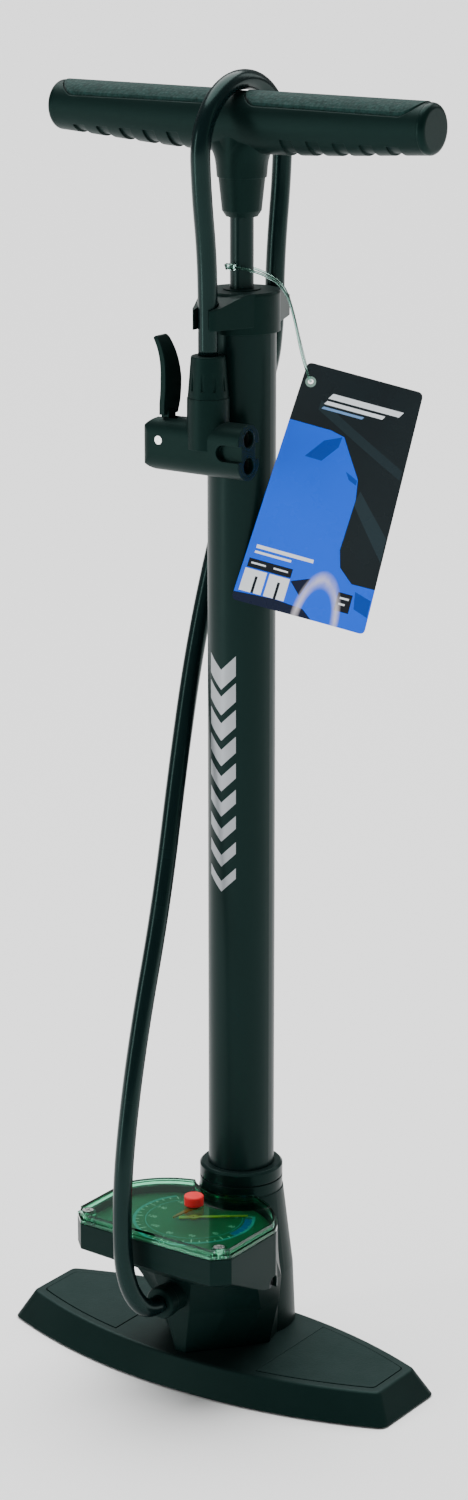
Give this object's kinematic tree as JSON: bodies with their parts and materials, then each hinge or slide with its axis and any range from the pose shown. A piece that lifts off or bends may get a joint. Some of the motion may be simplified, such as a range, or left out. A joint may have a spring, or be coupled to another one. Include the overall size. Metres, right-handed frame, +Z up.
{
  "type": "floor bike pump",
  "caption": "Upright floor pump with a wide two-footed base, an enclosed pressure gauge, a long barrel, a T handle and a looped hose with a lever chuck.",
  "frame": {"origin": "on the pump barrel's axis at floor level, in the face of the rubber pad under the tower", "axes": "+X along the handle and the foot, -Y towards the front where the gauge is, +Z up along the barrel"},
  "size_m": [0.242, 0.1432, 0.6841],
  "materials": {
    "black_body": "satin moulded",
    "black_gloss": "gloss",
    "grip_rubber": "grained",
    "seal_rubber": "smooth",
    "hose_rubber": "glossy",
    "barrel_paint": "satin powder coat",
    "rod_paint": "satin",
    "zinc_steel": "bright zinc",
    "dark_steel": "blackened",
    "brass": "machined",
    "grey_plastic": "moulded",
    "dial_print": "printed",
    "clear_lens": "clear moulded",
    "yellow_needle": "painted",
    "red_plastic": "moulded",
    "orange_pointer": "moulded",
    "card": "coated print",
    "loop_plastic": "translucent"
  },
  "bodies": {
    "root": {"foot_plate": "black_body", "foot_treads": "grip_rubber", "foot_pads": "grip_rubber", "foot_screws": "zinc_steel", "tower_shell": "black_body", "side_screws": "dark_steel", "barrel_collar": "black_gloss", "barrel_tube": "barrel_paint", "barrel_gasket": "seal_rubber", "valve_body": "grey_plastic", "valve_o_ring": "seal_rubber", "valve_plug": "brass", "valve_spring": "zinc_steel", "barrel_cap": "black_body", "rod_bush": "grey_plastic", "rod_wiper": "seal_rubber", "movement_plate": "brass", "movement_bridge": "brass", "bourdon_tube": "brass", "gauge_stem": "brass", "dial_plate": "dial_print", "lens_gasket": "seal_rubber", "lens_cover": "clear_lens", "lens_screws": "zinc_steel", "hose_nut": "black_body", "hose_barb": "brass", "hose": "hose_rubber", "hose_boot": "black_body", "chuck_body": "black_body", "lever_pin": "zinc_steel", "port_grommets": "seal_rubber", "port_rings": "black_gloss", "hang_tag": "card", "tag_eyelet": "zinc_steel", "tag_loop": "loop_plastic", "tag_clasp": "loop_plastic"},
    "valve": {"valve_disc": "seal_rubber"},
    "plunger": {"piston": "grey_plastic", "piston_cup": "seal_rubber", "piston_nut": "zinc_steel", "piston_washer": "zinc_steel", "piston_rod": "rod_paint", "top_bumper": "seal_rubber", "handle_grip": "black_body", "grip_pads": "grip_rubber", "handle_anchor_nut": "zinc_steel", "handle_end_caps": "black_gloss"},
    "sector": {"sector_gear": "brass"},
    "needle": {"needle_pinion": "brass", "needle": "yellow_needle"},
    "marker": {"marker_knob": "red_plastic", "marker_pointer": "orange_pointer"},
    "lever": {"chuck_lever": "black_body"},
    "plungers": {"chuck_plungers": "grey_plastic"}
  },
  "joints": [
    {"name": "rod_slide", "type": "slide", "parent": "root", "child": "plunger", "axis": [0, 0, 1], "range_m": [0, 0.44], "deforming": ["hose"]},
    {"name": "valve_slide", "type": "slide", "parent": "root", "child": "valve", "axis": [0, 0, -1], "range_m": [0, 0.002], "stiffness_N_per_m": 300, "springref_m": -0.001, "deforming": ["valve_spring"]},
    {"name": "sector_pivot", "type": "hinge", "parent": "root", "child": "sector", "pos_m": [0, -0.0665, 0.082], "axis": [0, 0, 1], "range_deg": [0, 32]},
    {"name": "needle_pivot", "type": "hinge", "parent": "root", "child": "needle", "pos_m": [0, -0.044, 0.084], "axis": [0, 0, -1], "range_deg": [0, 256]},
    {"name": "marker_turn", "type": "hinge", "parent": "root", "child": "marker", "pos_m": [0, -0.044, 0.096], "axis": [0, 0, 1], "continuous": true},
    {"name": "chuck_lever_hinge", "type": "hinge", "parent": "root", "child": "lever", "pos_m": [-0.0243, -0.0295, 0.5021], "axis": [0, -1, 0], "range_deg": [0, 90]},
    {"name": "plunger_slide", "type": "slide", "parent": "root", "child": "plungers", "axis": [1, 0, 0], "range_m": [0, 0.0025]}
  ],
  "couplings": [
    {"joint": "needle_pivot", "follows": "sector_pivot", "ratio": 8},
    {"joint": "plunger_slide", "follows": "chuck_lever_hinge", "m_per_rad": 0.0015914}
  ]
}
